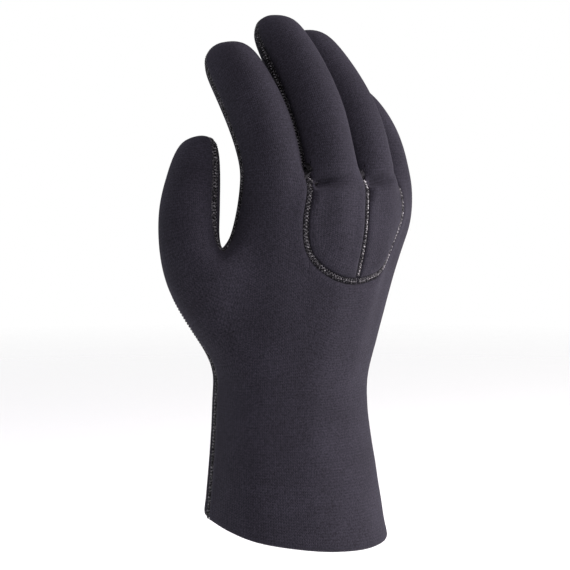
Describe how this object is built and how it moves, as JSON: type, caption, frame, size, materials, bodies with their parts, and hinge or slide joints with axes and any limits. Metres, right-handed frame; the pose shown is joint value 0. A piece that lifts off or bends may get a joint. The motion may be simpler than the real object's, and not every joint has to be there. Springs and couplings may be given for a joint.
{
  "type": "diving glove",
  "caption": "Thick neoprene diving glove for the right hand, with separate fingers, a U-shaped knuckle seam and a long plain cuff.",
  "frame": {"origin": "middle of the hem's opening, where the hand goes in", "axes": "+Z from the hem towards the fingertips; -Y is the back of the hand, +Y the palm, -X the thumb side and +X the little finger side"},
  "size_m": [0.1339, 0.0734, 0.2531],
  "materials": {
    "neoprene_back": "foamed neoprene sheet faced with fine matt knit jersey, blue-black, with a soft sheen",
    "neoprene_palm": "foamed neoprene sheet faced with plain matt knit jersey, near-black"
  },
  "bodies": {
    "root": {"back_panel": "neoprene_back", "middle_panel": "neoprene_back", "ring_panel": "neoprene_back", "palm_panel": "neoprene_palm"}
  },
  "joints": []
}
